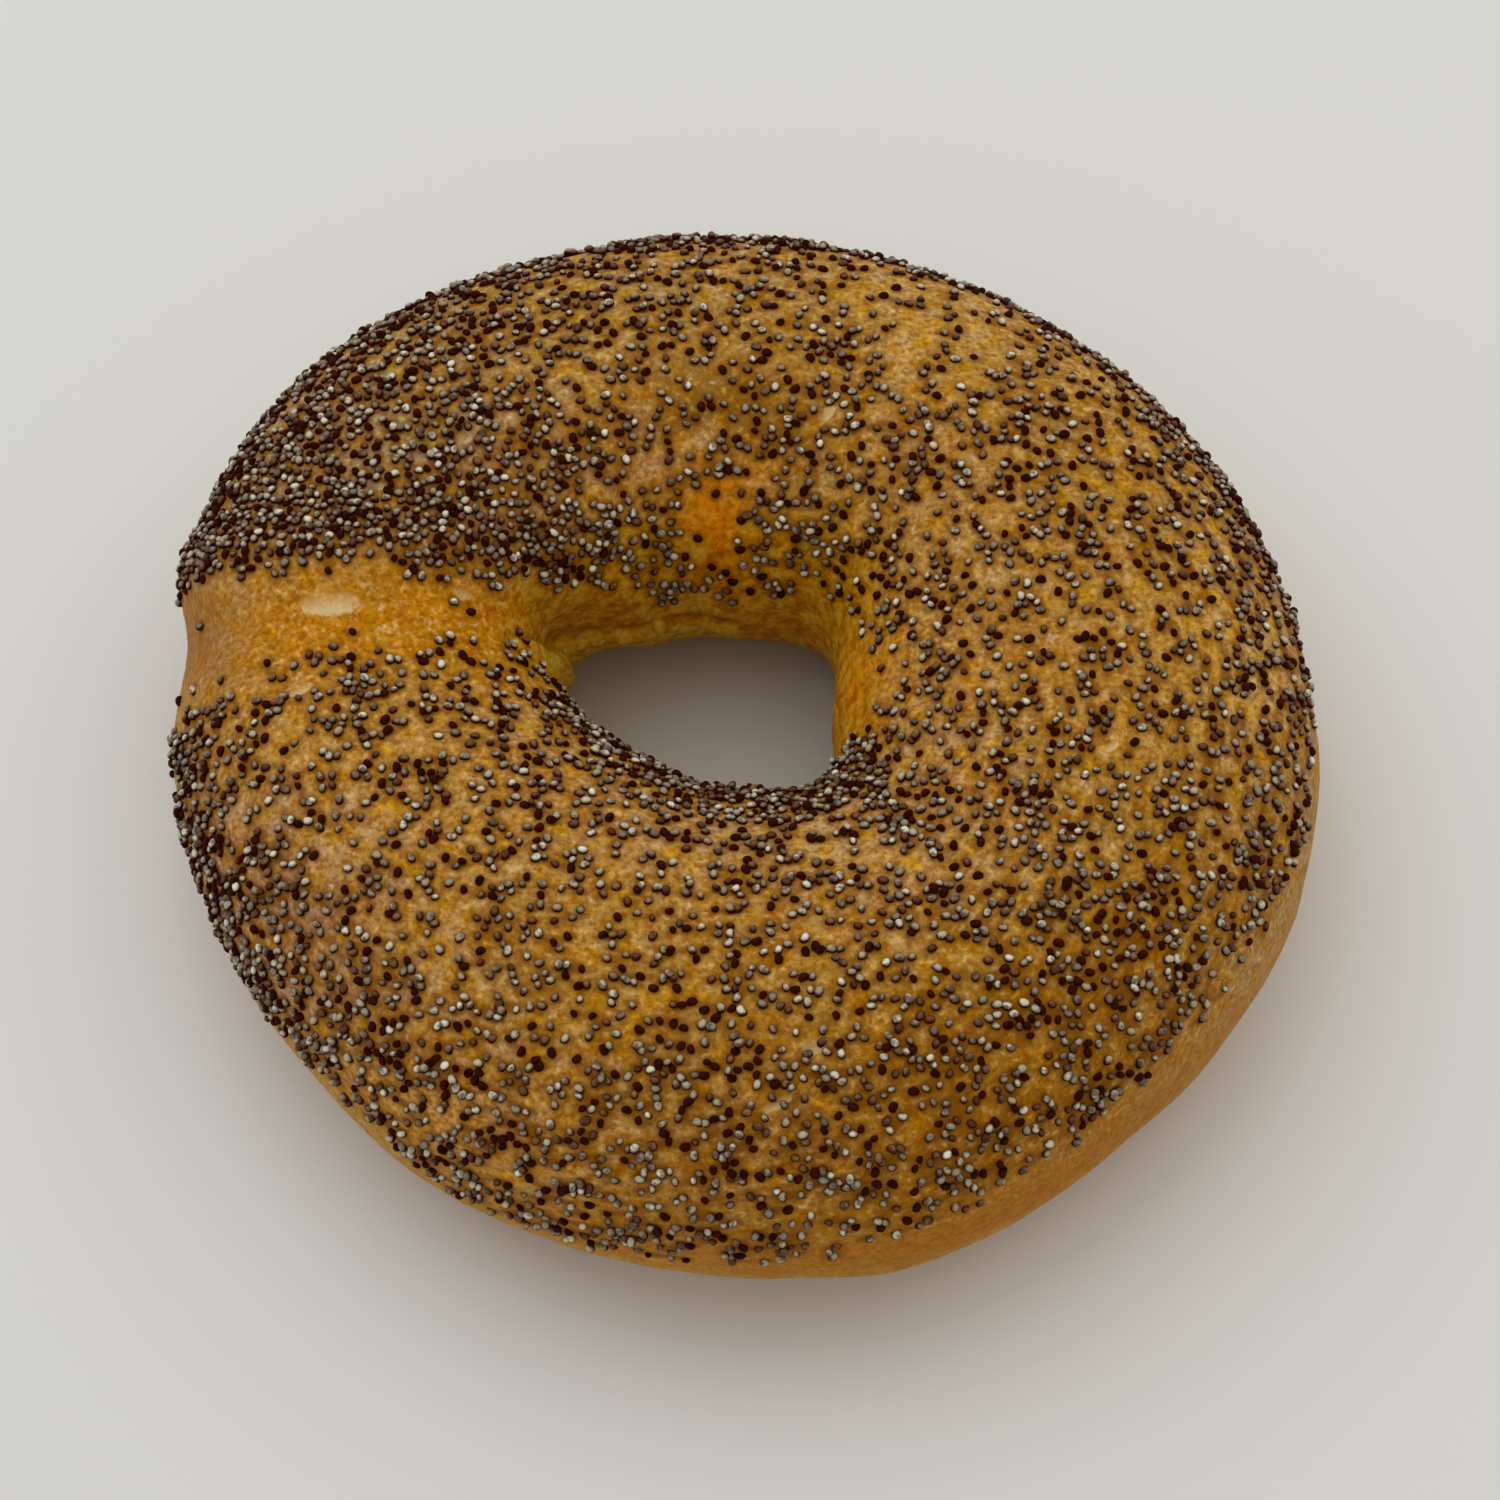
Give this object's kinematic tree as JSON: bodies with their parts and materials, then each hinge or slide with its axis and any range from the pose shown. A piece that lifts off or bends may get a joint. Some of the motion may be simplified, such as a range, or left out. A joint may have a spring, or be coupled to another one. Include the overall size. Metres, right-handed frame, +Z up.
{
  "type": "bagel",
  "caption": "Hand-rolled ring of baked dough with a seam across one side, poppy seeds on its crust and a flat base it rests on.",
  "frame": {"origin": "centre of the bounding box at the base, on the surface the bagel rests on", "axes": "+Z up through the hole, +X away from the seam, +Y from the thinner side of the ring's front to its back"},
  "size_m": [0.1143, 0.1122, 0.0352],
  "materials": {
    "crust": "satin",
    "poppy_seed": "satin"
  },
  "bodies": {
    "root": {"bagel": "crust"}
  },
  "joints": []
}
